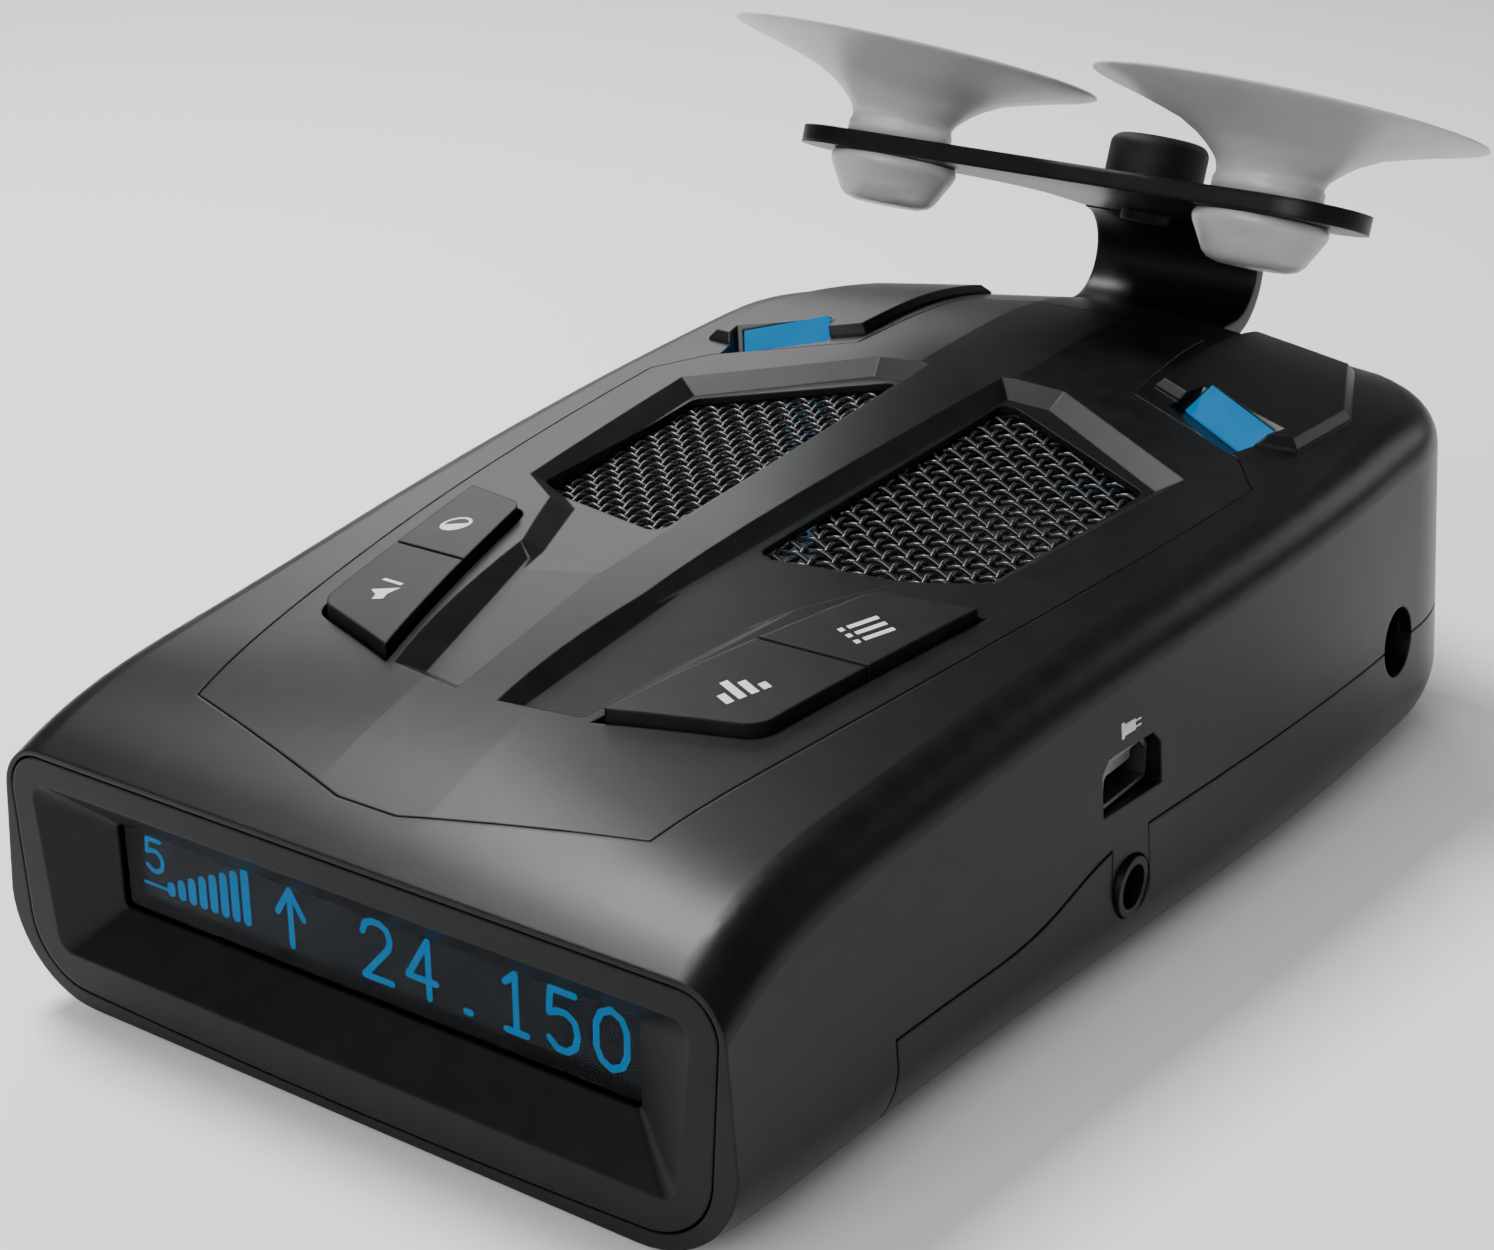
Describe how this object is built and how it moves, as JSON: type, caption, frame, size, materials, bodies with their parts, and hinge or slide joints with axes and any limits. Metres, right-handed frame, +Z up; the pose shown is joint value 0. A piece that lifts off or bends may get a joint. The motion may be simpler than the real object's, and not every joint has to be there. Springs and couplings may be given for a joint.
{
  "type": "radar detector",
  "caption": "Wedge-shaped dashboard radar detector with a front display, speaker grilles, top keys and a bent windscreen bracket on two suction cups.",
  "frame": {"origin": "middle of the flat underside of the case", "axes": "+X to the socket side, +Y from the display end to the windscreen end, +Z up"},
  "size_m": [0.0792, 0.1304, 0.064],
  "materials": {
    "case_black": "satin, fine moulded texture",
    "panel_black": "semi-gloss paint",
    "bezel_black": "polished",
    "smoked_window": "smoked acrylic",
    "display_glass": "display face, lit characters",
    "circuit_board": "solder mask",
    "tinned_steel": "tinned sheet",
    "grille_wire": "black painted woven wire",
    "key_black": "soft-touch",
    "switch_black": "moulded",
    "lens_blue": "frosted light pipe, lit blue",
    "led_white": "moulded",
    "horn_metal": "die cast",
    "speaker_frame": "paper cone and steel frame",
    "sensor_black": "moulded",
    "ir_window": "dark red acrylic",
    "jack_plastic": "moulded",
    "steel_screw": "black oxide",
    "bracket_steel": "black coat on spring steel",
    "clear_rubber": "milky translucent",
    "black_rubber": "matt",
    "ribbon": "flat flex"
  },
  "bodies": {
    "detector": {"upper_case": "case_black", "lower_case": "case_black", "top_panel": "panel_black", "display_bezel": "bezel_black", "display_window": "smoked_window", "display_module": "display_glass", "display_board": "circuit_board", "ribbon_cable": "ribbon", "key_switches": "switch_black", "keypad_board": "circuit_board", "grille_left": "grille_wire", "grille_right": "grille_wire", "alert_lens_left": "lens_blue", "alert_lens_right": "lens_blue", "alert_leds": "led_white", "main_board": "circuit_board", "horn_antenna": "horn_metal", "rf_shield": "tinned_steel", "speaker": "speaker_frame", "laser_window": "ir_window", "laser_sensor": "sensor_black", "usb_connector": "tinned_steel", "earphone_jack": "jack_plastic", "power_jack": "jack_plastic", "case_screws": "steel_screw", "board_screws": "steel_screw"},
    "mute_key": {"mute_button": "key_black"},
    "dim_key": {"dim_button": "key_black"},
    "city_key": {"city_button": "key_black"},
    "menu_key": {"menu_button": "key_black"},
    "bracket": {"mount_bracket": "bracket_steel", "bracket_bumper": "black_rubber"},
    "cup_left": {"suction_cup_left": "clear_rubber"},
    "cup_right": {"suction_cup_right": "clear_rubber"}
  },
  "joints": [
    {"name": "mute_press", "type": "slide", "parent": "detector", "child": "mute_key", "axis": [0, 0, -1], "range_m": [0, 0.0004], "stiffness_N_per_m": 1500},
    {"name": "dim_press", "type": "slide", "parent": "detector", "child": "dim_key", "axis": [0, 0, -1], "range_m": [0, 0.0004], "stiffness_N_per_m": 1500},
    {"name": "city_press", "type": "slide", "parent": "detector", "child": "city_key", "axis": [0, 0, -1], "range_m": [0, 0.0004], "stiffness_N_per_m": 1500},
    {"name": "menu_press", "type": "slide", "parent": "detector", "child": "menu_key", "axis": [0, 0, -1], "range_m": [0, 0.0004], "stiffness_N_per_m": 1500},
    {"name": "bracket_slide", "type": "slide", "parent": "detector", "child": "bracket", "axis": [0, 1, 0], "range_m": [0, 0.03]},
    {"name": "cup_left_turn", "type": "hinge", "parent": "bracket", "child": "cup_left", "pos_m": [-0.01943, 0.04485, 0.04942], "axis": [0.0166, 0.3173, 0.9482], "continuous": true},
    {"name": "cup_right_turn", "type": "hinge", "parent": "bracket", "child": "cup_right", "pos_m": [0.01957, 0.04485, 0.04874], "axis": [0.0166, 0.3173, 0.9482], "continuous": true}
  ]
}
